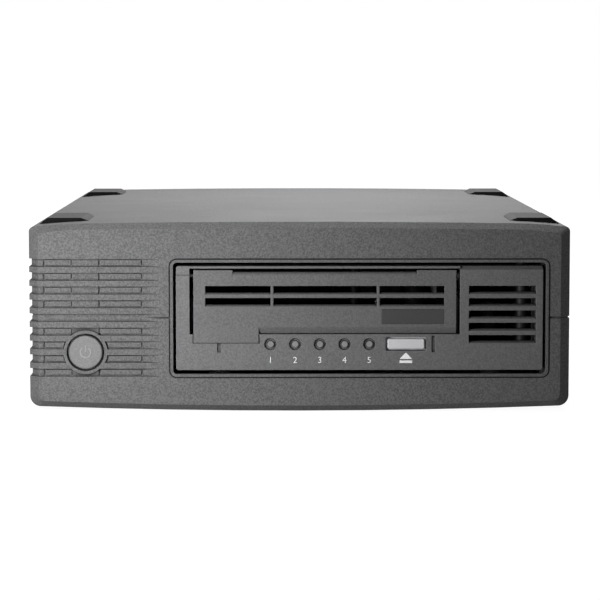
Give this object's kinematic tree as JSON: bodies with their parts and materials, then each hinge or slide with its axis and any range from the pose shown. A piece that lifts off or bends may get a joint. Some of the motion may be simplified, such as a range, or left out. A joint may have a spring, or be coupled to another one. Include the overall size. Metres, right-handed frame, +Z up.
{
  "type": "external data tape drive",
  "caption": "Desktop data tape drive: charcoal case with louvred front, power button and a built-in cartridge drive with flap door, lights and eject button.",
  "frame": {"origin": "on the floor under the middle of the case", "axes": "+X to the right seen from the front, -Y out of the front with the cartridge door, +Z up"},
  "size_m": [0.221, 0.303, 0.0787],
  "materials": {
    "case_plastic": "fine moulded grain",
    "bezel_plastic": "fine moulded grain",
    "door_plastic": "fine moulded grain",
    "button_plastic": "fine moulded grain",
    "light_plastic": "smooth",
    "label_plate": "smooth satin",
    "rubber": "matt",
    "lens": "clear",
    "led": "clear",
    "zinc_steel": "zinc plated",
    "screw_steel": "plated",
    "spring_steel": "drawn wire",
    "cast_aluminium": "die cast",
    "board": "solder mask",
    "black_plastic": "moulded",
    "transformer": "tape wrapped",
    "capacitor": "sleeve",
    "coil_copper": "enamelled",
    "magnet": "nickel plated",
    "gear_plastic": "moulded",
    "head_ceramic": "lapped",
    "reel_plastic": "moulded"
  },
  "bodies": {
    "case": {"board_chips": "black_plastic", "button_spring": "spring_steel", "case_screws": "screw_steel", "chuck_motor": "zinc_steel", "data_sockets": "zinc_steel", "door_hinge_pin": "spring_steel", "door_spring": "spring_steel", "drive_base": "cast_aluminium", "drive_bezel": "bezel_plastic", "drive_connector": "black_plastic", "drive_cover": "zinc_steel", "drive_cradle": "zinc_steel", "drive_screws": "screw_steel", "eject_switch": "black_plastic", "fan_frame": "black_plastic", "front_board": "board", "head_frame": "cast_aluminium", "head_magnet": "magnet", "interface_board": "board", "interface_posts": "screw_steel", "light_pipes": "lens", "loader_motor": "zinc_steel", "lower_shell": "case_plastic", "main_board": "board", "mains_inlet": "black_plastic", "panel_screws": "screw_steel", "plate_screws": "screw_steel", "power_board": "board", "power_switch": "black_plastic", "rear_panel": "zinc_steel", "reel_motor": "zinc_steel", "roller_posts": "spring_steel", "rubber_feet": "rubber", "stacking_pads": "case_plastic", "status_leds": "led", "supply_board": "board", "supply_capacitors": "capacitor", "supply_heat_sink": "cast_aluminium", "supply_transformer": "transformer", "upper_shell": "case_plastic", "vent_baffle": "case_plastic"},
    "power_button": {"power_button": "button_plastic"},
    "fan_rotor": {"fan_rotor": "black_plastic"},
    "door": {"cartridge_door": "door_plastic", "door_label": "label_plate"},
    "eject_button": {"eject_button": "light_plastic"},
    "loader_slider": {"loader_slider": "zinc_steel"},
    "loader_tray": {"loader_tray": "zinc_steel"},
    "loader_gear": {"loader_gear": "gear_plastic"},
    "motor_pinion": {"motor_pinion": "gear_plastic"},
    "take_up_reel": {"take_up_reel": "reel_plastic"},
    "reel_chuck": {"reel_chuck": "black_plastic"},
    "guide_roller_1": {"guide_roller_1": "magnet"},
    "guide_roller_2": {"guide_roller_2": "magnet"},
    "guide_roller_3": {"guide_roller_3": "magnet"},
    "guide_roller_4": {"guide_roller_4": "magnet"},
    "head": {"tape_head": "head_ceramic", "head_carriage": "cast_aluminium", "head_coil": "coil_copper"},
    "threading_arm": {"threading_arm": "black_plastic"}
  },
  "joints": [
    {"name": "door_hinge", "type": "hinge", "parent": "case", "child": "door", "pos_m": [0.01025, -0.1488, 0.056], "axis": [1, 0, 0], "range_deg": [0, 84], "stiffness_Nm_per_rad": 0.002, "springref_deg": -17.19},
    {"name": "power_button_press", "type": "slide", "parent": "case", "child": "power_button", "axis": [0, 1, 0], "range_m": [0, 0.002], "stiffness_N_per_m": 400, "deforming": ["button_spring"]},
    {"name": "eject_press", "type": "slide", "parent": "case", "child": "eject_button", "axis": [0, 1, 0], "range_m": [0, 0.001], "stiffness_N_per_m": 500},
    {"name": "fan_spin", "type": "hinge", "parent": "case", "child": "fan_rotor", "pos_m": [0.062, 0.138, 0.039], "axis": [0, 1, 0], "continuous": true},
    {"name": "loader_slide", "type": "slide", "parent": "case", "child": "loader_slider", "axis": [0, 1, 0], "range_m": [0, 0.012]},
    {"name": "tray_lower", "type": "slide", "parent": "case", "child": "loader_tray", "axis": [0, 0, 1], "range_m": [-0.004, 0]},
    {"name": "loader_gear_spin", "type": "hinge", "parent": "case", "child": "loader_gear", "pos_m": [0.07844, -0.0734, 0.0412], "axis": [0, 0, 1], "range_deg": [-144, 1]},
    {"name": "motor_pinion_spin", "type": "hinge", "parent": "case", "child": "motor_pinion", "pos_m": [0.08238, -0.08808, 0.0425], "axis": [0, 0, 1], "range_deg": [-1, 402]},
    {"name": "take_up_reel_spin", "type": "hinge", "parent": "case", "child": "take_up_reel", "pos_m": [-0.003, 0.01707, 0.0378], "axis": [0, 0, 1], "continuous": true},
    {"name": "reel_chuck_spin", "type": "hinge", "parent": "case", "child": "reel_chuck", "pos_m": [0.01025, -0.07793, 0.028], "axis": [0, 0, 1], "continuous": true},
    {"name": "head_lift", "type": "slide", "parent": "case", "child": "head", "axis": [0, 0, 1], "range_m": [-0.002, 0.002]},
    {"name": "threading_arm_swing", "type": "hinge", "parent": "case", "child": "threading_arm", "pos_m": [0.026, -0.0244, 0.051], "axis": [0, 0, 1], "range_deg": [0, 108]},
    {"name": "guide_roller_1_spin", "type": "hinge", "parent": "case", "child": "guide_roller_1", "pos_m": [0.054, -0.0174, 0.03785], "axis": [0, 0, 1], "continuous": true},
    {"name": "guide_roller_2_spin", "type": "hinge", "parent": "case", "child": "guide_roller_2", "pos_m": [0.079, -0.0134, 0.03785], "axis": [0, 0, 1], "continuous": true},
    {"name": "guide_roller_3_spin", "type": "hinge", "parent": "case", "child": "guide_roller_3", "pos_m": [0.079, 0.0226, 0.03785], "axis": [0, 0, 1], "continuous": true},
    {"name": "guide_roller_4_spin", "type": "hinge", "parent": "case", "child": "guide_roller_4", "pos_m": [0.054, 0.0276, 0.03785], "axis": [0, 0, 1], "continuous": true}
  ],
  "couplings": [
    {"joint": "tray_lower", "follows": "loader_slide", "ratio": -0.33333},
    {"joint": "loader_gear_spin", "follows": "loader_slide", "rad_per_m": -208.33},
    {"joint": "motor_pinion_spin", "follows": "loader_slide", "rad_per_m": 583.33}
  ]
}
